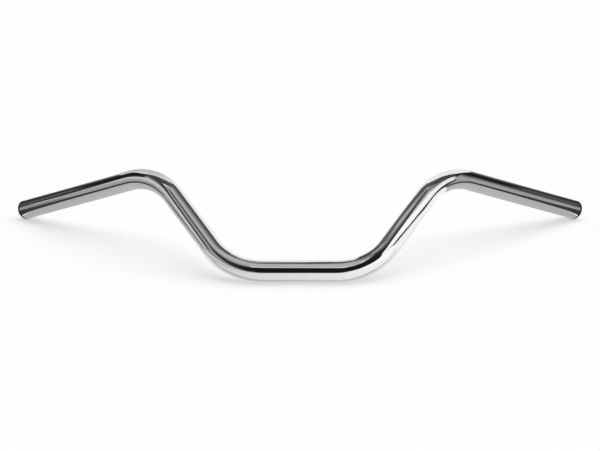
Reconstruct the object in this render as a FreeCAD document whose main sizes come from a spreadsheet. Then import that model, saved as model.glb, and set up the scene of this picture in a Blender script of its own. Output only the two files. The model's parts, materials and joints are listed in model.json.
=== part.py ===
import FreeCAD, Part
import math
import os

import Sketcher

# A handlebar bent from one length of steel tube, with a plastic plug pushed into each open end.
# X runs along the clamp section, Y the way the grips sweep back and Z up, and the origin is the middle of
# the clamp section on the tube's axis. The bar lies as it comes to rest on a flat surface: on the underside
# of the clamp section and on the rims of both plugs.

# Driving dimensions in millimetres and degrees, in the order in which the tube is bent and the plugs are made
DIMENSIONS = {
    "tube_diameter": 22.2,
    "tube_wall": 2.0,
    "tube_end_chamfer": 0.4,
    "clamp_straight": 72.0,
    "lower_bend_radius": 62.0,
    "lower_bend_angle": 59.0,
    "riser_straight": 85.0,
    "bend_twist": 133.0,
    "upper_bend_radius": 90.0,
    "upper_bend_angle": 50.0,
    "grip_straight": 177.0,
    "flange_thickness": 3.2,
    "flange_inset": 0.1,
    "flange_bevel": 0.8,
    "shank_length": 17.0,
    "shank_wall": 1.8,
    "shank_chamfer": 0.6,
    "barb_height": 0.7,
    "barb_length": 3.0,
    "barb_count": 2,
    "first_barb_depth": 3.0,
    "bore_clearance": 0.05,
}

ALONG_AXIS = FreeCAD.Vector(0, 0, 1)
BEND_AXIS = FreeCAD.Vector(0, 1, 0)
CLAMP_AXIS = FreeCAD.Vector(1, 0, 0)
FULL_TURN = 360
SAME_PLACE = 1e-6

# Sizes that more than one feature needs, as expressions on the sheet's cells
TUBE_BORE = "(dims.tube_diameter - 2 * dims.tube_wall)"
BARB_RADIUS = f"({TUBE_BORE} / 2 - dims.bore_clearance)"
SHANK_RADIUS = f"({BARB_RADIUS} - dims.barb_height)"
FLANGE_RADIUS = "(dims.tube_diameter / 2 - dims.flange_inset)"

# How a sketch names its own origin and axes, and the points of its edges
ORIGIN = (-1, 1)
UPRIGHT_AXIS, LEVEL_AXIS = range(-2, 0)
START, END, CENTRE = range(1, 4)


def make_sheet(doc):
    """The sheet of driving dimensions: one named cell for each size."""
    sheet = doc.addObject("Spreadsheet::Sheet", "dims")
    for row, (name, value) in enumerate(DIMENSIONS.items(), start=1):
        sheet.set(f"A{row}", name)
        sheet.set(f"B{row}", str(value))
        sheet.setAlias(f"B{row}", name)
    doc.recompute()
    return sheet


def from_origin(body, role):
    """One of the body's own origin planes or axes, by its role."""
    return next(feature for feature in body.Origin.OriginFeatures if feature.Role == role)


def bind(sketch, kind, *where, size, cell):
    """Adds a dimension to the sketch, at the size that it is drawn with, and ties it to the sheet."""
    index = sketch.addConstraint(Sketcher.Constraint(kind, *where, size))
    sketch.setExpression(f"Constraints[{index}]", cell)


# Stations are coordinate systems along the tube's axis: Z points onwards along the tube, and X to the inside
# of the bend that starts there. Each is placed from the one before it.

def first_station(body, name):
    """The middle of the clamp section, looking along it."""
    station = body.newObject("PartDesign::CoordinateSystem", name)
    station.AttachmentSupport = [(from_origin(body, "YZ_Plane"), "")]
    station.MapMode = "FlatFace"
    return station


def next_station(body, name, start, turn_axis):
    """A station that is moved and turned from another; its turn about the given axis is set by the caller."""
    station = body.newObject("PartDesign::CoordinateSystem", name)
    station.AttachmentSupport = [(start, "")]
    station.MapMode = "ObjectXY"
    station.AttachmentOffset = FreeCAD.Placement(FreeCAD.Vector(), FreeCAD.Rotation(turn_axis, 1))
    return station


def station_after_straight(body, name, start, length, twist="0"):
    """The far end of a straight run, where the tube is twisted about its axis before the next bend."""
    station = next_station(body, name, start, ALONG_AXIS)
    station.setExpression("AttachmentOffset.Base.z", length)
    station.setExpression("AttachmentOffset.Rotation.Angle", twist)
    return station


def station_after_bend(body, name, start, bend):
    """The far end of a bend, whose radius and angle are the cells that start with its name."""
    radius = f"dims.{bend}_radius"
    angle = f"dims.{bend}_angle"
    station = next_station(body, name, start, BEND_AXIS)
    station.setExpression("AttachmentOffset.Base.x", f"{radius} * (1 - cos({angle} * 1 deg))")
    station.setExpression("AttachmentOffset.Base.z", f"{radius} * sin({angle} * 1 deg)")
    station.setExpression("AttachmentOffset.Rotation.Angle", angle)
    return station


def tube_section(body, sheet, name, station):
    """Sketch of the tube's section, a ring between the outside and the bore, across the axis at a station."""
    sketch = body.newObject("Sketcher::SketchObject", name)
    sketch.AttachmentSupport = [(station, "")]
    sketch.MapMode = "ObjectXY"
    outside = sheet.tube_diameter
    bore = outside - 2 * sheet.tube_wall
    for diameter, cell in ((outside, "dims.tube_diameter"), (bore, TUBE_BORE)):
        circle = sketch.addGeometry(Part.Circle(FreeCAD.Vector(), ALONG_AXIS, diameter / 2))
        sketch.addConstraint(Sketcher.Constraint("Coincident", circle, CENTRE, *ORIGIN))
        bind(sketch, "Diameter", circle, size=diameter, cell=cell)
    return sketch


def add_straight(body, sheet, name, station, length):
    """A straight run of tube from a station onwards."""
    pad = body.newObject("PartDesign::Pad", name)
    pad.Profile = tube_section(body, sheet, f"{name}_section", station)
    pad.setExpression("Length", length)
    return pad


def add_bend(body, sheet, name, station):
    """A bend of the tube: its section turned about a line that stands off to the inside of the bend."""
    section = tube_section(body, sheet, f"{name}_section", station)
    radius = getattr(sheet, f"{name}_radius")
    line_length = sheet.tube_diameter
    low = FreeCAD.Vector(radius, -line_length / 2, 0)
    high = FreeCAD.Vector(radius, line_length / 2, 0)
    axis = section.addGeometry(Part.LineSegment(low, high), True)
    section.addConstraint(Sketcher.Constraint("Symmetric", axis, START, axis, END, LEVEL_AXIS))
    bind(section, "Distance", axis, size=line_length, cell="dims.tube_diameter")
    bind(section, "DistanceX", *ORIGIN, axis, START, size=radius, cell=f"dims.{name}_radius")
    bend = body.newObject("PartDesign::Revolution", name)
    bend.Profile = section
    bend.ReferenceAxis = (section, ["Axis0"])
    bend.setExpression("Angle", f"dims.{name}_angle")
    return bend


def circle_names(shape, is_wanted):
    """Names of the circular edges of a shape whose circle passes a test."""
    names = []
    for index, edge in enumerate(shape.Edges, start=1):
        if isinstance(edge.Curve, Part.Circle) and is_wanted(edge.Curve):
            names.append(f"Edge{index}")
    return names


def other_side(vector):
    """The same place or direction on the other side of the bar."""
    return FreeCAD.Vector(-vector.x, vector.y, vector.z)


def make_tube(doc, sheet):
    """The bent tube: the left half run by run from the middle of the clamp section, then its mirror image."""
    body = doc.addObject("PartDesign::Body", "handlebar_tube")
    body.Label = "handlebar_tube"
    half_clamp = "dims.clamp_straight / 2"
    clamp_middle = first_station(body, "clamp_middle")
    clamp_end = station_after_straight(body, "clamp_end", clamp_middle, half_clamp)
    riser_start = station_after_bend(body, "riser_start", clamp_end, "lower_bend")
    riser_length = "dims.riser_straight"
    riser_end = station_after_straight(body, "riser_end", riser_start, riser_length, "-dims.bend_twist")
    grip_start = station_after_bend(body, "grip_start", riser_end, "upper_bend")
    grip_end = station_after_straight(body, "grip_end", grip_start, "dims.grip_straight")

    both_sides_of = [
        add_straight(body, sheet, "clamp_half", clamp_middle, half_clamp),
        add_bend(body, sheet, "lower_bend", clamp_end),
        add_straight(body, sheet, "riser", riser_start, riser_length),
        add_bend(body, sheet, "upper_bend", riser_end),
        add_straight(body, sheet, "grip", grip_start, "dims.grip_straight"),
    ]
    both_sides = body.newObject("PartDesign::Mirrored", "both_sides")
    both_sides.Originals = both_sides_of
    both_sides.MirrorPlane = (from_origin(body, "YZ_Plane"), [""])
    body.Tip = both_sides
    doc.recompute()

    left_end = grip_end.Placement.Base
    ends = (left_end, other_side(left_end))
    deburred = body.newObject("PartDesign::Chamfer", "deburred_ends")
    deburred.Base = (both_sides, circle_names(
        both_sides.Shape,
        lambda circle: any(circle.Center.distanceToPoint(end) < SAME_PLACE for end in ends)))
    deburred.setExpression("Size", "dims.tube_end_chamfer")
    body.Tip = deburred
    doc.recompute()
    return body, grip_end


class PlugRadii:
    """Radii of an end plug, worked out from the tube that it fits."""

    def __init__(self, sheet):
        bore = sheet.tube_diameter / 2 - sheet.tube_wall
        self.flange = sheet.tube_diameter / 2 - sheet.flange_inset
        self.barb = bore - sheet.bore_clearance
        self.shank = self.barb - sheet.barb_height
        self.hollow = self.shank - sheet.shank_wall
        self.barb_root = self.shank - sheet.shank_wall / 2


def profile_sketch(body, name):
    """A sketch beside the plug's axis: across it is the radius, and up it is the way out of the tube."""
    sketch = body.newObject("Sketcher::SketchObject", name)
    sketch.AttachmentSupport = [(from_origin(body, "XZ_Plane"), "")]
    sketch.MapMode = "FlatFace"
    return sketch


def closed_outline(sketch, corners):
    """Straight edges through the corners in order, joined end to end; gives the index of each edge."""
    edges = []
    for start, end in zip(corners, corners[1:] + corners[:1]):
        line = Part.LineSegment(FreeCAD.Vector(*start, 0), FreeCAD.Vector(*end, 0))
        edges.append(sketch.addGeometry(line))
    for edge, following in zip(edges, edges[1:] + edges[:1]):
        sketch.addConstraint(Sketcher.Constraint("Coincident", edge, END, following, START))
    return edges


def turn_about_axis(body, name, sketch):
    """A full turn of a profile about the plug's axis."""
    turned = body.newObject("PartDesign::Revolution", name)
    turned.Profile = sketch
    turned.ReferenceAxis = (sketch, ["V_Axis"])
    turned.Angle = FULL_TURN
    return turned


def add_cup(body, sheet, radii):
    """Flange and hollow shank of the plug as one turned profile, with the seat of the flange at height 0."""
    sketch = profile_sketch(body, "cup_profile")
    thickness = sheet.flange_thickness
    length = sheet.shank_length
    wall = sheet.shank_wall
    top, rim, seat, shank, mouth, hollow, floor, axis = closed_outline(sketch, [
        (0, thickness), (radii.flange, thickness), (radii.flange, 0), (radii.shank, 0),
        (radii.shank, -length), (radii.hollow, -length), (radii.hollow, -wall), (0, -wall)])
    for edge in (top, seat, mouth, floor):
        sketch.addConstraint(Sketcher.Constraint("Horizontal", edge))
    for edge in (rim, shank, hollow):
        sketch.addConstraint(Sketcher.Constraint("Vertical", edge))
    for point in (START, END):
        sketch.addConstraint(Sketcher.Constraint("PointOnObject", axis, point, UPRIGHT_AXIS))
    sketch.addConstraint(Sketcher.Constraint("PointOnObject", seat, START, LEVEL_AXIS))
    bind(sketch, "DistanceY", rim, END, rim, START, size=thickness, cell="dims.flange_thickness")
    bind(sketch, "DistanceX", *ORIGIN, rim, START, size=radii.flange, cell=FLANGE_RADIUS)
    bind(sketch, "DistanceX", *ORIGIN, shank, START, size=radii.shank, cell=SHANK_RADIUS)
    bind(sketch, "DistanceY", shank, END, shank, START, size=length, cell="dims.shank_length")
    bind(sketch, "DistanceX", mouth, END, mouth, START, size=wall, cell="dims.shank_wall")
    bind(sketch, "DistanceY", floor, START, *ORIGIN, size=wall, cell="dims.shank_wall")
    return turn_about_axis(body, "cup", sketch)


def add_barbs(body, sheet, radii):
    """Rings along the shank that grip the bore: square towards the flange, sloped towards the mouth."""
    sketch = profile_sketch(body, "barb_profile")
    top = -sheet.first_barb_depth
    length = sheet.barb_length
    step, slope, root = closed_outline(sketch, [
        (radii.barb_root, top), (radii.barb, top), (radii.barb_root, top - length)])
    sketch.addConstraint(Sketcher.Constraint("Horizontal", step))
    sketch.addConstraint(Sketcher.Constraint("Vertical", root))
    root_radius = f"{SHANK_RADIUS} - dims.shank_wall / 2"
    bind(sketch, "DistanceX", *ORIGIN, step, START, size=radii.barb_root, cell=root_radius)
    bind(sketch, "DistanceX", *ORIGIN, step, END, size=radii.barb, cell=BARB_RADIUS)
    bind(sketch, "DistanceY", step, START, *ORIGIN, size=-top, cell="dims.first_barb_depth")
    bind(sketch, "DistanceY", slope, END, slope, START, size=length, cell="dims.barb_length")
    barb = turn_about_axis(body, "barb", sketch)
    row = body.newObject("PartDesign::LinearPattern", "barbs")
    row.Originals = [barb]
    row.Direction = (from_origin(body, "Z_Axis"), [""])
    row.Reversed = True
    row.setExpression("Occurrences", "dims.barb_count")
    share = "((dims.shank_length - dims.first_barb_depth) / dims.barb_count)"
    row.setExpression("Length", f"{share} * (dims.barb_count - 1)")
    body.Tip = row
    return row


def rim_names(shape, height, radius):
    """Names of the circular edges of a plug at a height along its axis and of a radius."""
    def is_rim(circle):
        return abs(circle.Center.z - height) < SAME_PLACE and abs(circle.Radius - radius) < SAME_PLACE

    return circle_names(shape, is_rim)


def make_plug(doc, sheet, label):
    """An end plug: a flange with a bevelled rim and a hollow barbed shank, with its axis on Z."""
    body = doc.addObject("PartDesign::Body", label)
    body.Label = label
    radii = PlugRadii(sheet)
    add_cup(body, sheet, radii)
    barbs = add_barbs(body, sheet, radii)
    doc.recompute()

    lead_in = body.newObject("PartDesign::Chamfer", "lead_in")
    lead_in.Base = (barbs, rim_names(barbs.Shape, -sheet.shank_length, radii.shank))
    lead_in.setExpression("Size", "dims.shank_chamfer")
    doc.recompute()

    bevelled = body.newObject("PartDesign::Chamfer", "bevelled_flange")
    bevelled.Base = (lead_in, rim_names(lead_in.Shape, sheet.flange_thickness, radii.flange))
    bevelled.setExpression("Size", "dims.flange_bevel")
    body.Tip = bevelled
    doc.recompute()
    return body


def lowest_rim_point(sheet, grip_end, roll):
    """Height of the lowest point of a plug's bevelled rim, with the bar rolled about the clamp axis."""
    turn = FreeCAD.Rotation(CLAMP_AXIS, roll)
    end = turn.multVec(grip_end.Base)
    axis = turn.multVec(grip_end.Rotation.multVec(ALONG_AXIS))
    rim_radius = PlugRadii(sheet).flange
    bevel = sheet.flange_bevel
    thickness = sheet.flange_thickness
    edges_of_bevel = ((thickness - bevel, rim_radius), (thickness, rim_radius - bevel))
    drop = math.sqrt(1 - axis.z ** 2)
    return min(end.z + height * axis.z - radius * drop for height, radius in edges_of_bevel)


def lying_roll(sheet, grip_end):
    """The roll at which both rims are level with the underside of the clamp section, by halving the range."""
    underside = -sheet.tube_diameter / 2
    low = -90.0
    high = 90.0
    halvings = 50
    for _ in range(halvings):
        middle = (low + high) / 2
        if lowest_rim_point(sheet, grip_end, middle) < underside:
            low = middle
        else:
            high = middle
    return high


def lay_down(sheet, tube, grip_end, left_plug, right_plug):
    """Rolls the bar to its rest on a flat surface and seats a plug on each end of it."""
    station = grip_end.Placement
    lying = FreeCAD.Placement(FreeCAD.Vector(), FreeCAD.Rotation(CLAMP_AXIS, lying_roll(sheet, station)))
    tube.Placement = lying
    end = lying.multVec(station.Base)
    outwards = lying.Rotation.multVec(station.Rotation.multVec(ALONG_AXIS))
    left_plug.Placement = FreeCAD.Placement(end, FreeCAD.Rotation(ALONG_AXIS, outwards))
    right_turn = FreeCAD.Rotation(ALONG_AXIS, other_side(outwards))
    right_plug.Placement = FreeCAD.Placement(other_side(end), right_turn)


def check_document(doc, pieces):
    """Stops if a feature failed or a piece is not one valid solid."""
    for feature in doc.Objects:
        if "Invalid" in feature.State or "Error" in feature.State:
            raise RuntimeError(f"{feature.Name} failed: {feature.State}")
    for piece in pieces:
        shape = piece.Shape
        if shape.isNull() or not shape.isValid() or len(shape.Solids) != 1:
            raise RuntimeError(f"{piece.Label} is not one valid solid")


doc = FreeCAD.newDocument("handlebar")
sheet = make_sheet(doc)
tube, grip_end = make_tube(doc, sheet)
left_plug = make_plug(doc, sheet, "left_end_plug")
right_plug = make_plug(doc, sheet, "right_end_plug")
lay_down(sheet, tube, grip_end, left_plug, right_plug)
doc.recompute()

pieces = [tube, left_plug, right_plug]
check_document(doc, pieces)
os.makedirs("parts", exist_ok=True)
for piece in pieces:
    piece.Shape.exportStep(f"parts/{piece.Label}.step")
    print(f"{piece.Label}: {piece.Shape.Volume:.1f} mm3")
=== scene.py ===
import json
from math import cos, pi, radians, sin, tau

import bmesh
import bpy
from mathutils import Matrix, Vector


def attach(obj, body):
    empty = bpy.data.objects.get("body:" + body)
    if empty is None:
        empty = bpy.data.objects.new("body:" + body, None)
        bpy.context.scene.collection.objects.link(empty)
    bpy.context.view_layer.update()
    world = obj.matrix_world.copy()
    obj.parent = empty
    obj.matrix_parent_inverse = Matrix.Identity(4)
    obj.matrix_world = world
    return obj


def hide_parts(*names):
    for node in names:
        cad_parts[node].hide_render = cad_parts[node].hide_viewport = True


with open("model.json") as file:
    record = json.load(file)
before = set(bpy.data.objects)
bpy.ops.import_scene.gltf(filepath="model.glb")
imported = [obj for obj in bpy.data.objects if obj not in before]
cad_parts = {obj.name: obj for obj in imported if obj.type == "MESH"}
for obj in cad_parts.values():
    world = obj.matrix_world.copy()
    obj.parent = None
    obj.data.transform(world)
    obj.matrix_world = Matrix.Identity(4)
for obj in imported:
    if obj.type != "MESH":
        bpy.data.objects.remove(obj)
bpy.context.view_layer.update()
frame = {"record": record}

# Handlebar tube
# The bar is one length of round steel tube, bent cold over two formers: the lower bends splay the risers, and
# the upper bends, turned out of that plane, bring the grips out, back and down. The tube is polished before
# it is bent, its ends are deburred, and the whole of it is plated with bright chrome.

mounts = {mount["name"]: mount for mount in frame["record"]["mounts"]}
tube_radius = mounts["clamp_section"]["dims"]["r_mm"] / 1000
tube_wall = 0.002
bore_radius = tube_radius - tube_wall
end_chamfer = 0.0004
chrome_colour = (0.78, 0.79, 0.80, 1)

clamp_length = mounts["clamp_section"]["dims"]["length_mm"] / 1000
lower_bend_radius = 0.062
lower_bend_angle = radians(59)
riser_length = 0.085
bend_twist = radians(133)
upper_bend_radius = 0.090
upper_bend_angle = radians(50)
grip_length = 0.177

# Distance between rings of the mesh, the number of points on a ring, and the angle from which an edge is
# shaded as a crisp one
straight_ring_spacing = 0.006
bend_ring_spacing = 0.0012
ring_points = 128
crisp_edge_angle = radians(30)

# A station is a place along the tube's axis: its Z points onwards along the tube, and its X is where a ring
# of the mesh starts. The first one is at the middle of the clamp section and looks along it.
clamp_middle = Matrix(((0, 0, 1, 0), (1, 0, 0, 0), (0, 1, 0, 0), (0, 0, 0, 1)))


def along_straight(start, length):
    """Stations along a straight run, up to its far end."""
    count = round(length / straight_ring_spacing)
    return [start @ Matrix.Translation((0, 0, length * step / count)) for step in range(1, count + 1)]


def along_bend(start, radius, angle, inside):
    """Stations round a bend, up to its far end; inside is the turn about the axis to its centre."""
    count = round(radius * angle / bend_ring_spacing)
    facing = Matrix.Rotation(inside, 4, "Z")
    outward = Matrix.Translation((radius, 0, 0))
    stations = []
    for step in range(1, count + 1):
        turned = Matrix.Rotation(angle * step / count, 4, "Y")
        stations.append(start @ facing @ outward @ turned @ outward.inverted() @ facing.inverted())
    return stations


def half_of_the_bar():
    """Stations from the middle of the clamp section to the end of the left grip."""
    stations = [clamp_middle]
    stations += along_straight(stations[-1], clamp_length / 2)
    stations += along_bend(stations[-1], lower_bend_radius, lower_bend_angle, 0)
    stations += along_straight(stations[-1], riser_length)
    stations += along_bend(stations[-1], upper_bend_radius, upper_bend_angle, -bend_twist)
    stations += along_straight(stations[-1], grip_length)
    return stations


def lie_down(stations):
    """Rolls the bar about its clamp section until its left grip points as the frame's does."""
    as_bent = stations[-1].to_3x3().col[2].yz
    as_lying = Vector(mounts["left_grip"]["axis"]).yz
    roll = Matrix.Rotation(-as_bent.angle_signed(as_lying), 4, "X")
    return [roll @ station for station in stations]


def ring(station, radius):
    """Points of a circle round the axis at a station."""
    turns = [tau * step / ring_points for step in range(ring_points)]
    return [station @ Vector((radius * cos(turn), radius * sin(turn), 0)) for turn in turns]


def other_side(points):
    """The same points on the other side of the bar."""
    return [Vector((-point.x, point.y, point.z)) for point in points]


def skin_of_half(stations):
    """Rings over half the tube's skin: along the outside, over the deburred end and back along the bore."""
    end = stations[-1]
    before_end = end @ Matrix.Translation((0, 0, -end_chamfer))
    run = stations[:-1] + [before_end]
    rings = [ring(station, tube_radius) for station in run]
    rings.append(ring(end, tube_radius - end_chamfer))
    rings.append(ring(end, bore_radius + end_chamfer))
    rings += [ring(station, bore_radius) for station in reversed(run)]
    return rings


def mesh_of_rings(name, rings):
    """A closed mesh over rings, the last joined to the first, with a map round and along it in metres."""
    mesh = bmesh.new()
    unrolled = mesh.loops.layers.uv.new("unrolled")
    points = [[mesh.verts.new(point) for point in one_ring] for one_ring in rings]
    side_length = tau * tube_radius / ring_points
    opposite = ring_points // 2
    face_corners = ((0, 0), (1, 0), (1, 1), (0, 1))
    travelled = 0.0
    for near, far in zip(points, points[1:] + points[:1]):
        advance = (far[0].co + far[opposite].co - near[0].co - near[opposite].co).length / 2
        for step in range(ring_points):
            following = (step + 1) % ring_points
            face = mesh.faces.new((near[step], near[following], far[following], far[step]))
            face.smooth = True
            for loop, (round_tube, along_tube) in zip(face.loops, face_corners):
                loop[unrolled].uv = ((step + round_tube) * side_length, travelled + along_tube * advance)
        travelled += advance
    bmesh.ops.recalc_face_normals(mesh, faces=mesh.faces)
    data = bpy.data.meshes.new(name)
    mesh.to_mesh(data)
    mesh.free()
    data.set_sharp_from_angle(angle=crisp_edge_angle)
    piece = bpy.data.objects.new(name, data)
    bpy.context.scene.collection.objects.link(piece)
    return piece


def new_material(name):
    """A material with its node tree and its main shader."""
    material = bpy.data.materials.new(name)
    material.use_nodes = True
    return material, material.node_tree, material.node_tree.nodes["Principled BSDF"]


def add_node(tree, kind, **settings):
    """A shader node of a kind, with its settings and, by the name of the socket, its plain input values."""
    node = tree.nodes.new(kind)
    for setting, value in settings.items():
        if setting in node.inputs:
            node.inputs[setting].default_value = value
        else:
            setattr(node, setting, value)
    return node


def bright_chrome():
    """Chrome plate: a clean mirror with a breath of haze, faint rings from polishing and a slight ripple."""
    material, tree, shader = new_material("bright_chrome")
    shader.inputs["Metallic"].default_value = 1.0
    shader.inputs["Base Color"].default_value = chrome_colour
    place = add_node(tree, "ShaderNodeTexCoord")

    haze = add_node(tree, "ShaderNodeTexNoise", Scale=38, Detail=4)
    tree.links.new(place.outputs["Object"], haze.inputs["Vector"])
    hazy = add_node(tree, "ShaderNodeMapRange", **{"To Min": 0.025, "To Max": 0.06})
    tree.links.new(haze.outputs["Fac"], hazy.inputs["Value"])

    unrolled = add_node(tree, "ShaderNodeUVMap", uv_map="unrolled")
    round_and_along = add_node(tree, "ShaderNodeSeparateXYZ")
    tree.links.new(unrolled.outputs["UV"], round_and_along.inputs["Vector"])
    polishing = add_node(tree, "ShaderNodeTexNoise", noise_dimensions="1D", Scale=1800, Detail=2)
    tree.links.new(round_and_along.outputs["Y"], polishing.inputs["W"])
    polished = add_node(tree, "ShaderNodeMapRange", **{"To Min": 0.0, "To Max": 0.025})
    tree.links.new(polishing.outputs["Fac"], polished.inputs["Value"])
    roughness = add_node(tree, "ShaderNodeMath", operation="ADD")
    tree.links.new(hazy.outputs["Result"], roughness.inputs[0])
    tree.links.new(polished.outputs["Result"], roughness.inputs[1])
    tree.links.new(roughness.outputs["Value"], shader.inputs["Roughness"])

    ripple = add_node(tree, "ShaderNodeTexNoise", Scale=70, Detail=1)
    tree.links.new(place.outputs["Object"], ripple.inputs["Vector"])
    rippled = add_node(tree, "ShaderNodeBump", Strength=0.1, Distance=0.0002)
    tree.links.new(ripple.outputs["Fac"], rippled.inputs["Height"])
    tree.links.new(rippled.outputs["Normal"], shader.inputs["Normal"])
    return material


stations = lie_down(half_of_the_bar())
half_skin = skin_of_half(stations)
whole_skin = half_skin + [other_side(points) for points in reversed(half_skin[1:-1])]
tube = mesh_of_rings("bent_tube", whole_skin)
tube.data.materials.append(bright_chrome())
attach(tube, "root")
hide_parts("handlebar_tube")

# End plugs
# Each open end of the tube is closed by a moulded black plastic plug, pushed in by hand. A bevelled flange
# sits against the end of the tube, and the hollow shank behind it grips the bore with two sloped barbs.

flange_setback = 0.0001
flange_radius = tube_radius - flange_setback
flange_thickness = 0.0032
flange_bevel = 0.0008
barb_clearance = 0.00005
barb_radius = bore_radius - barb_clearance
barb_height = 0.0007
shank_radius = barb_radius - barb_height
shank_wall = 0.0018
shank_length = 0.017
shank_chamfer = 0.0006
barb_length = 0.003
first_barb_depth = 0.003
barb_count = 2
plug_edge_softening = 0.0002
plug_sides = 96
merge_distance = 1e-6
plug_black = (0.010, 0.010, 0.011, 1)
rubbed_black = (0.022, 0.022, 0.023, 1)


def plug_profile():
    """The plug's outline beside its axis, from the middle of its face round to the middle of its hollow."""
    outline = [
        (0, flange_thickness),
        (flange_radius - flange_bevel, flange_thickness),
        (flange_radius, flange_thickness - flange_bevel),
        (flange_radius, 0),
        (shank_radius, 0),
    ]
    barb_pitch = (shank_length - first_barb_depth) / barb_count
    for number in range(barb_count):
        top = -first_barb_depth - number * barb_pitch
        outline += [(shank_radius, top), (barb_radius, top), (shank_radius, top - barb_length)]
    hollow_radius = shank_radius - shank_wall
    outline += [
        (shank_radius, shank_chamfer - shank_length),
        (shank_radius - shank_chamfer, -shank_length),
        (hollow_radius, -shank_length),
        (hollow_radius, -shank_wall),
        (0, -shank_wall),
    ]
    return outline


def end_plug(name, seat):
    """A plug turned from its profile, seated on an end of the tube."""
    mesh = bmesh.new()
    points = [mesh.verts.new((radius, 0, height)) for radius, height in plug_profile()]
    edges = [mesh.edges.new(pair) for pair in zip(points, points[1:])]
    bmesh.ops.spin(mesh, geom=points + edges, axis=(0, 0, 1), angle=tau, steps=plug_sides, use_merge=True)
    bmesh.ops.remove_doubles(mesh, verts=mesh.verts, dist=merge_distance)
    bmesh.ops.transform(mesh, matrix=seat, verts=mesh.verts)
    bmesh.ops.recalc_face_normals(mesh, faces=mesh.faces)
    for face in mesh.faces:
        face.smooth = True
    data = bpy.data.meshes.new(name)
    mesh.to_mesh(data)
    mesh.free()
    plug = bpy.data.objects.new(name, data)
    bpy.context.scene.collection.objects.link(plug)
    softened = plug.modifiers.new("softened_edges", "BEVEL")
    softened.width = plug_edge_softening
    softened.segments = 3
    softened.limit_method = "ANGLE"
    softened.angle_limit = crisp_edge_angle
    softened.harden_normals = True
    return plug


def black_plastic():
    """Moulded black plastic: a satin skin with a fine grain, a little greyer where it has been rubbed."""
    material, tree, shader = new_material("black_plug_plastic")
    shader.inputs["Specular IOR Level"].default_value = 0.2
    place = add_node(tree, "ShaderNodeTexCoord")

    rubbing = add_node(tree, "ShaderNodeTexNoise", Scale=160, Detail=3)
    tree.links.new(place.outputs["Object"], rubbing.inputs["Vector"])
    greyed = add_node(tree, "ShaderNodeValToRGB")
    greyed.color_ramp.elements[0].position = 0.45
    greyed.color_ramp.elements[0].color = plug_black
    greyed.color_ramp.elements[1].position = 0.75
    greyed.color_ramp.elements[1].color = rubbed_black
    tree.links.new(rubbing.outputs["Fac"], greyed.inputs["Fac"])
    tree.links.new(greyed.outputs["Color"], shader.inputs["Base Color"])

    grain = add_node(tree, "ShaderNodeTexNoise", Scale=2200, Detail=2)
    tree.links.new(place.outputs["Object"], grain.inputs["Vector"])
    roughness = add_node(tree, "ShaderNodeMapRange", **{"To Min": 0.38, "To Max": 0.55})
    tree.links.new(grain.outputs["Fac"], roughness.inputs["Value"])
    tree.links.new(roughness.outputs["Result"], shader.inputs["Roughness"])
    skin = add_node(tree, "ShaderNodeBump", Strength=0.3, Distance=0.0001)
    tree.links.new(grain.outputs["Fac"], skin.inputs["Height"])
    tree.links.new(skin.outputs["Normal"], shader.inputs["Normal"])
    return material


left_seat = stations[-1]
right_seat = Matrix.Scale(-1, 4, (1, 0, 0)) @ left_seat
plug_plastic = black_plastic()
for side, seat in (("left", left_seat), ("right", right_seat)):
    plug = end_plug(side + "_plug", seat)
    plug.data.materials.append(plug_plastic)
    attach(plug, "root")
    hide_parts(side + "_end_plug")

# Floor and background
# The bar lies on a pale seamless sheet, on the underside of its clamp section and on the rims of its plugs.
# The sheet runs back to a white room.

floor_height = -tube_radius
floor_reach = 8.0
floor_colour = (0.62, 0.62, 0.62, 1)
floor_lift = 0.44
room_light = 0.43


def seen_directly_or_mirrored(tree):
    """A value of 1 for what is seen, also in a mirror or through glass, and 0 for what only lights."""
    path = add_node(tree, "ShaderNodeLightPath")
    directly_or_glossy = add_node(tree, "ShaderNodeMath", operation="MAXIMUM")
    tree.links.new(path.outputs["Is Camera Ray"], directly_or_glossy.inputs[0])
    tree.links.new(path.outputs["Is Glossy Ray"], directly_or_glossy.inputs[1])
    seen = add_node(tree, "ShaderNodeMath", operation="MAXIMUM")
    tree.links.new(directly_or_glossy.outputs["Value"], seen.inputs[0])
    tree.links.new(path.outputs["Is Transmission Ray"], seen.inputs[1])
    return seen.outputs["Value"]


def pale_sheet():
    """Matt white paper, lifted towards white where it is seen, so that only a soft shadow is left on it."""
    material, tree, shader = new_material("pale_sheet")
    shader.inputs["Base Color"].default_value = floor_colour
    shader.inputs["Roughness"].default_value = 1.0
    shader.inputs["Specular IOR Level"].default_value = 0.0
    shader.inputs["Emission Color"].default_value = (1, 1, 1, 1)
    lift = add_node(tree, "ShaderNodeMath", operation="MULTIPLY")
    lift.inputs[1].default_value = floor_lift
    tree.links.new(seen_directly_or_mirrored(tree), lift.inputs[0])
    tree.links.new(lift.outputs["Value"], shader.inputs["Emission Strength"])
    return material


def stage_sheet(name, points, faces, material):
    """A flat thing of the studio, which is no part of the bar."""
    data = bpy.data.meshes.new(name)
    data.from_pydata(points, [], faces)
    data.materials.append(material)
    sheet = bpy.data.objects.new(name, data)
    bpy.context.scene.collection.objects.link(sheet)
    return sheet


corner_signs = ((-1, -1), (1, -1), (1, 1), (-1, 1))
floor_corners = [(x * floor_reach, y * floor_reach, floor_height) for x, y in corner_signs]
stage_sheet("floor", floor_corners, [(0, 1, 2, 3)], pale_sheet())

world = bpy.data.worlds.new("white_room")
world.use_nodes = True
bpy.context.scene.world = world
background = world.node_tree.nodes["Background"]
background.inputs["Color"].default_value = (1, 1, 1, 1)
whiteness = add_node(world.node_tree, "ShaderNodeMapRange", **{"To Min": room_light, "To Max": 1.0})
world.node_tree.links.new(seen_directly_or_mirrored(world.node_tree), whiteness.inputs["Value"])
world.node_tree.links.new(whiteness.outputs["Result"], background.inputs["Strength"])

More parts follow.
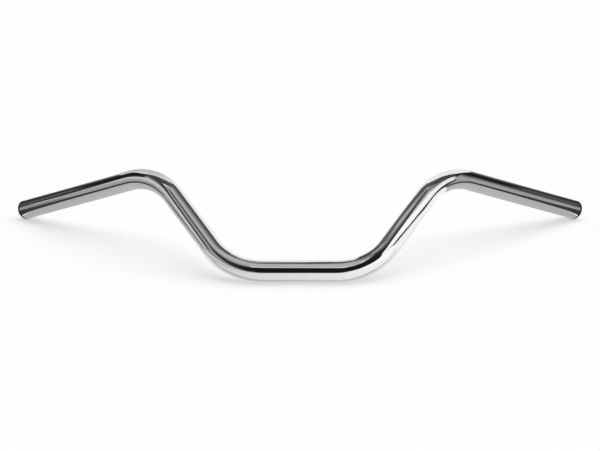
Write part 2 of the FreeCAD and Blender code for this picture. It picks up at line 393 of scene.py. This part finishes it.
# Light and boards
# One broad soft light comes from above. Boards that glow with their own brightness stand and lie round the
# bar, as flags and cards do for any picture of chrome: they give the plating its dark and pale bands. They
# light nothing, and only the bar mirrors them.

light_power = 1.5
light_spread = radians(75)
light_tilt = radians(12)

light = bpy.data.lights.new("overhead_light", "SUN")
light.energy = light_power
light.angle = light_spread
overhead_light = bpy.data.objects.new("overhead_light", light)
overhead_light.rotation_euler = (-light_tilt, light_tilt, 0)
overhead_light.visible_glossy = False
bpy.context.scene.collection.objects.link(overhead_light)


def glowing_board_paint():
    """Glowing paint for the boards: black, and shining at each place as bright as the board's own brightness
    says.
    """
    material, tree, shader = new_material("glowing_board_paint")
    shader.inputs["Base Color"].default_value = (0, 0, 0, 1)
    shader.inputs["Specular IOR Level"].default_value = 0.0
    shader.inputs["Emission Color"].default_value = (1, 1, 1, 1)
    painted = add_node(tree, "ShaderNodeAttribute", attribute_name="brightness")
    tree.links.new(painted.outputs["Fac"], shader.inputs["Emission Strength"])
    return material


paint = glowing_board_paint()


def board(name, rows):
    """A board over rows of a low point, a high point and the brightness there."""
    count = len(rows)
    points = [low for low, high, brightness in rows] + [high for low, high, brightness in rows]
    faces = [(step, step + 1, count + step + 1, count + step) for step in range(count - 1)]
    sheet = stage_sheet(name, points, faces, paint)
    painted = sheet.data.attributes.new("brightness", "FLOAT", "POINT")
    painted.data.foreach_set("value", 2 * [brightness for low, high, brightness in rows])
    sheet.visible_camera = False
    sheet.visible_diffuse = False
    sheet.visible_transmission = False
    sheet.visible_shadow = False


def toward(azimuth, elevation, distance):
    """A place seen from the middle of the bar; azimuth turns from the camera's side to the bar's left."""
    heading = radians(azimuth)
    rise = radians(elevation)
    return distance * Vector((sin(heading) * cos(rise), -cos(heading) * cos(rise), sin(rise)))


def far_board(name, distance, rows):
    """A board some way off: rows of an azimuth, its low and high edge as elevations, and a brightness."""
    board(name, [(toward(azimuth, low, distance), toward(azimuth, high, distance), brightness)
                 for azimuth, low, high, brightness in rows])


def rear_board(name, y, rows):
    """An upright board across the back: rows of a place along X, its low and high edge, and a brightness."""
    board(name, [((x, y, low), (x, y, high), brightness) for x, low, high, brightness in rows])


def side_board(name, x, rows):
    """An upright board along a side: rows of a place along Y, its low and high edge, and a brightness."""
    board(name, [((x, y, low), (x, y, high), brightness) for y, low, high, brightness in rows])


# Heights above the floor of a sheet lying on it, and of a painted edge or contact shadow on such a sheet
sheet_lift = 0.0003
edge_and_shadow_lift = 0.0005


def floor_board(name, rows, lift=sheet_lift):
    """A strip on the floor: rows of a place along X, its front and back edge, and a brightness."""
    level = floor_height + lift
    board(name, [((x, front, level), (x, back, level), brightness) for x, front, back, brightness in rows])


# The boards close beside the bar stand this far from its axis and follow the stations of its left half
near_distance = 0.056
grip_steps = round(grip_length / straight_ring_spacing)
upper_bend_steps = round(upper_bend_radius * upper_bend_angle / bend_ring_spacing)
riser_steps = round(riser_length / straight_ring_spacing)


def before_grip(steps):
    """The station some steps before the foot of the left grip, or after it where the steps are negative."""
    return stations[-1 - grip_steps - steps]


def beside(station, way, along, turn):
    """A place beside the bar's left (way 1) or right (way -1): on from a station, turned about its axis."""
    place = station @ Matrix.Rotation(radians(turn), 4, "Z") @ Vector((near_distance, 0, along))
    return Vector((way * place.x, place.y, place.z))


def on_side(way, rows):
    """Rows turned to one side of the bar: their first value is an azimuth or a place along X."""
    return [(way * first, *others) for first, *others in rows]


# Distances of the far boards from the middle of the bar
flag_fold_distance = 2.2
flag_distance = 2.4
edge_distance = 2.5
soft_box_fold_distance = 2.6
skirting_distance = 3.2
wall_distance = 4.0
overhead_distance = 5.0

# The dark studio in front of the bar, which the clamp section mirrors as its black band
far_board("dark_studio", edge_distance, [
    (-94, 50, 58, 0.10), (-65, 33, 54, 0.05), (-45, 13, 47, 0.035), (-26, 2, 46, 0.016), (-8, 0, 52, 0.01),
    (3, 0, 50, 0.01), (12, 0, 48, 0.01), (28, 10, 55, 0.01), (38, 16, 61, 0.01), (50, 23.5, 67.5, 0.01),
    (58, 29.5, 71.5, 0.012), (61, 34, 73, 0.012), (64, 48, 74, 0.013), (68, 53, 75.5, 0.014),
    (80, 60, 77.5, 0.025), (97, 65, 79.5, 0.04), (112, 69, 82, 0.06), (135, 72, 83, 0.10),
    (155, 73, 82, 0.16)])

# The sheet in front of the clamp section, a painted contact shadow in a thin grey line below the bar, and the
# dark floor in front of it
sheet_front = -0.20
dark_floor_front = -2.4
dark_floor_grey = 0.025
# The strip's brightness is painted light and shade: darker on the bar's right, brighter towards the soft box
# on its left.
floor_board("front_sheet", [
    (x, sheet_front, back, brightness) for x, back, brightness in (
        (-0.30, 0.07, 0.52), (-0.20, 0.07, 0.57), (-0.155, 0.065, 0.60), (-0.135, 0.012, 0.60),
        (-0.115, 0.008, 0.74), (-0.09, -0.003, 0.80), (-0.06, -0.009, 0.84), (0.03, -0.009, 0.96),
        (0.07, -0.006, 1.04), (0.10, 0.002, 1.08), (0.15, 0.02, 1.08), (0.30, 0.0, 1.10))])
floor_board("painted_contact_shadow", [
    (-0.135, 0.008, 0.022, 0.50), (-0.12, 0.006, 0.016, 0.47), (-0.0735, -0.008, -0.001, 0.58),
    (-0.043, -0.0095, -0.006, 0.58), (0.028, -0.0095, -0.0065, 0.66), (0.053, -0.008, -0.0045, 0.64),
    (0.087, -0.005, 0.002, 0.58), (0.15, 0.019, 0.03, 0.62), (0.165, 0.06, 0.08, 0.72)], lift=edge_and_shadow_lift)
floor_board("dark_floor", [(x, dark_floor_front, sheet_front, dark_floor_grey) for x in (-0.30, 0.12)])

# The grey wall on the bar's right, with its pale skirting and its dark rail
wall_top = 62
wall_grey = 0.36
far_board("grey_wall", wall_distance, [(azimuth, 0, wall_top, wall_grey) for azimuth in range(-100, 0, 20)])
far_board("pale_skirting", skirting_distance, [
    (-99, 0, 21, 0.75), (-92, 0, 21, 0.70), (-84, 0, 13, 0.45), (-60, 0, 8, 0.50), (-42, 0, 4, 0.50)])
far_board("wall_rail", edge_distance, [
    (-102, 30, 46, 0.07), (-97, 31, 44, 0.05), (-91.5, 27, 42, 0.04), (-89, 17, 36, 0.03),
    (-86, 16, 30, 0.03), (-80, 17, 24, 0.05)])

# The white soft box on the bar's left, with its grey fold and its dark edge, a bounce card that leans below
# it, and a white card that stands outside the left riser
soft_box_edge_x = 0.49
soft_box_edge_half = 0.013
bounce_foot_y = 0.055
bounce_top_y = 0.108
bounce_top = 0.051
riser_card_x = 0.27
riser_card_white = 1.1
far_board("soft_box", wall_distance, [
    (36, 0, 66, 1.2), (60, 0, 66, 1.2), (76, 0, 64, 1.2), (89, 0, 62, 1.2), (97, 0, 40, 1.0)])
far_board("soft_box_fold", soft_box_fold_distance, [
    (88, 42, 56, 1.0), (92, 36, 60, 0.52), (96, 33, 63, 0.30), (101, 30, 67, 0.22), (106, 46, 68, 0.20),
    (112, 57, 68, 0.20)])
board("soft_box_edge", [
    ((soft_box_edge_x, y - soft_box_edge_half, z - soft_box_edge_half),
     (soft_box_edge_x, y + soft_box_edge_half, z + soft_box_edge_half), brightness)
    for y, z, brightness in (
        (-0.25, 0.41, 0.30), (-0.164, 0.431, 0.45), (-0.087, 0.39, 0.35), (-0.028, 0.305, 0.20),
        (-0.015, 0.262, 0.12), (0.011, 0.199, 0.08), (0.036, 0.168, 0.05), (0.074, 0.126, 0.04),
        (0.12, 0.083, 0.04), (0.168, 0.015, 0.04))])
board("bounce_card", [
    ((foot_x, bounce_foot_y, floor_height), (top_x, bounce_top_y, bounce_top), brightness)
    for foot_x, top_x, brightness in (
        (0.118, 0.136, 1.1), (0.122, 0.141, 0.72), (0.130, 0.149, 0.72), (0.136, 0.156, 1.1),
        (0.30, 0.30, 1.1))])
side_board("riser_card", riser_card_x, [
    (y, floor_height, high, riser_card_white)
    for y, high in ((0.028, 0.05), (0.05, 0.06), (0.07, 0.054), (0.095, 0.042))])

# The grey sheet overhead, the dark bar that slants across the back, and a dark strip over the clamp section
overhead_edge = 55
overhead_grey = 0.52
rear_bar_y = 0.62
overhead_strip_y = 0.35
overhead_strip_low = 1.0
overhead_strip_high = 3.3
far_board("overhead_sheet", overhead_distance, [
    (azimuth, overhead_edge, 90, overhead_grey) for azimuth in range(-180, 181, 30)])
rear_board("rear_bar", rear_bar_y, [
    (-0.12, 0.5, 1.1, 0.11), (-0.07, 0.68, 1.1, 0.11), (-0.04, 0.75, 1.2, 0.11), (0.0, 0.95, 1.6, 0.09),
    (0.04, 0.77, 1.7, 0.07), (0.14, 0.79, 1.7, 0.07), (0.23, 0.98, 1.6, 0.07)])
rear_board("overhead_strip", overhead_strip_y, [
    (x, overhead_strip_low, overhead_strip_high, brightness)
    for x, brightness in ((-0.12, 0.10), (-0.05, 0.07), (0.05, 0.09), (0.10, 0.20))])

# Close beside the bar: a dark flag along the left riser, a graded shade along the right one, and a pale shade
# that follows the right upper bend
riser_foot = before_grip(upper_bend_steps + riser_steps)
board("riser_flag", [
    (beside(riser_foot, 1, along, low), beside(riser_foot, 1, along, high), brightness)
    for along, low, high, brightness in (
        (0.0, 40, 54, 0.09), (0.0135, 25, 50, 0.09), (0.0205, 8, 46, 0.08), (0.028, 0, 44, 0.10),
        (0.037, -5, 41, 0.15), (0.055, -3, 38, 0.14), (0.080, -3, 41, 0.12), (0.098, 1, 46, 0.11),
        (0.109, 6, 49, 0.11), (0.120, 11, 56, 0.11), (0.133, 17, 58, 0.11), (0.150, 27, 58, 0.11))])
board("riser_shade", [
    (beside(riser_foot, -1, low, turn), beside(riser_foot, -1, high, turn), brightness)
    for turn, low, high, brightness in (
        (27, 0.024, 0.152, 0.085), (41, 0.022, 0.145, 0.085), (48, 0.021, 0.139, 0.095),
        (58, 0.020, 0.133, 0.155), (68, 0.019, 0.131, 0.24), (77, 0.018, 0.131, 0.37),
        (86, 0.018, 0.131, 0.50))])
board("bend_shade", [
    (beside(before_grip(steps), -1, 0, 0), beside(before_grip(steps), -1, 0, high), brightness)
    for steps, high, brightness in (
        (36, 40, 0.90), (30, 52, 0.80), (24, 60, 0.70), (18, 66, 0.65), (12, 70, 0.62), (6, 72, 0.62),
        (0, 72, 0.62), (-4, 72, 0.62), (-8, 72, 0.66))])

# Close beside the left grip: a graded flag, whose end towards the bend is turned away
grip_foot = before_grip(0)
grip_flag_start = 0.010
grip_flag_square = 0.034
grip_flag_stop = 0.225
grip_flag_rows = (
    (93, 110, 0.08), (98, 118, 0.11), (106, 127, 0.26), (114, 136, 0.41), (122, 145, 0.44), (130, 153, 0.36))
board("grip_flag_end", [
    (beside(grip_foot, 1, grip_flag_start, end_turn),
     beside(grip_foot, 1, grip_flag_square, turn), brightness)
    for end_turn, turn, brightness in grip_flag_rows])
board("grip_flag", [
    (beside(grip_foot, 1, grip_flag_square, turn),
     beside(grip_foot, 1, grip_flag_stop, turn), brightness)
    for end_turn, turn, brightness in grip_flag_rows])

# What both upper bends and both grips mirror: the overhead sheet's rim, black flags, grey cards and the table
rim_grey = 0.07
bend_card_y = 0.45
bend_card_grey = 0.09
side_card_x = 0.5
tip_card_y = 0.62
tip_card_low = 0.0
tip_card_high = 0.25
shaded_front = 0.07
shaded_back = 0.30
shaded_edge_grey = 0.05
table_front = 0.03
table_back = 0.50
table_grey = 0.40
table_edge_front = 0.13
table_edge_grey = 0.10
for side, way in (("left", 1), ("right", -1)):
    far_board("overhead_rim_" + side, edge_distance, on_side(way, [
        (azimuth, low, high, rim_grey) for azimuth, low, high in (
            (102, 25, 48), (108, 28, 56), (117, 31, 62), (128, 45, 70), (142, 53, 73))]))
    rear_board("bend_card_" + side, bend_card_y, on_side(way, [
        (x, low, high, bend_card_grey) for x, low, high in (
            (0.09, 0.66, 1.0), (0.2, 0.67, 1.15), (0.35, 0.75, 1.2), (0.5, 0.87, 1.25))]))
    far_board("rear_flag_" + side, flag_distance, on_side(way, [
        (97, 9, 17, 0.30), (99, 10, 23, 0.05), (104, 11, 30, 0.02), (112, 12, 36, 0.012),
        (121, 12, 36, 0.012), (130, 11, 31, 0.03), (140, 9, 26, 0.12), (152, 5, 19, 0.4)]))
    far_board("flag_fold_" + side, flag_fold_distance, on_side(way, [
        (107, 14, 16, 0.04), (110, 14.5, 20, 0.11), (121, 16, 21.5, 0.11), (125, 18, 21, 0.03)]))
    side_board("side_card_" + side, way * side_card_x, [
        (0.02, floor_height, 0.04, 0.42), (0.085, floor_height, 0.068, 0.42),
        (0.13, floor_height, 0.10, 0.42), (0.15, 0.0125, 0.10, 0.42), (0.19, 0.005, 0.08, 0.42),
        (0.215, -0.002, 0.06, 0.42), (0.228, -0.004, 0.05, 0.32), (0.246, -0.005, 0.05, 0.15),
        (0.261, -0.006, 0.05, 0.065), (0.285, -0.006, 0.05, 0.05), (0.50, -0.006, 0.05, 0.05)])
    rear_board("tip_card_" + side, tip_card_y, on_side(way, [
        (x, tip_card_low, tip_card_high, brightness) for x, brightness in (
            (0.46, 0.45), (0.494, 0.33), (0.523, 0.17), (0.537, 0.08), (0.56, 0.04), (0.70, 0.03))]))
    # The shaded sheet is a painted shadow of the grip on the sheet under it, and the sheet's edge a painted
    # line of shadow
    floor_board("shaded_sheet_" + side, on_side(way, [
        (x, shaded_front, shaded_back, brightness)
        for x, brightness in ((0.15, 0.85), (0.21, 0.58), (0.33, 0.51))]))
    floor_board("table_" + side, on_side(way, [
        (x, table_front, table_back, table_grey) for x in (0.40, 0.50)]))
    floor_board("table_edge_" + side, on_side(way, [
        (x, table_edge_front, back, table_edge_grey)
        for x, back in ((0.46, 0.20), (0.60, 0.22), (0.85, 0.27))]))
    floor_board("sheet_edge_shadow_" + side, on_side(way, [
        (x, shaded_front, back, shaded_edge_grey) for x, back in (
            (0.305, 0.08), (0.33, 0.20), (0.345, 0.30), (0.41, 0.30), (0.43, 0.08))]), lift=edge_and_shadow_lift)

# Camera
# It stands in front of the clamp section and a little above the bar, midway between its ends.

image_width = 600
focal_pixels = 1221
camera_elevation = radians(16.02)
camera_distance = 1.226
camera_rise = 0.04571

camera_data = bpy.data.cameras.new("camera")
camera_data.sensor_width = 36
camera_data.lens = focal_pixels * camera_data.sensor_width / image_width
camera = bpy.data.objects.new("camera", camera_data)
camera.rotation_euler = (pi / 2 - camera_elevation, 0, 0)
camera.location = camera.rotation_euler.to_matrix() @ Vector((0, camera_rise, camera_distance))
bpy.context.scene.collection.objects.link(camera)
bpy.context.scene.camera = camera
bpy.context.scene.view_settings.view_transform = "Standard"
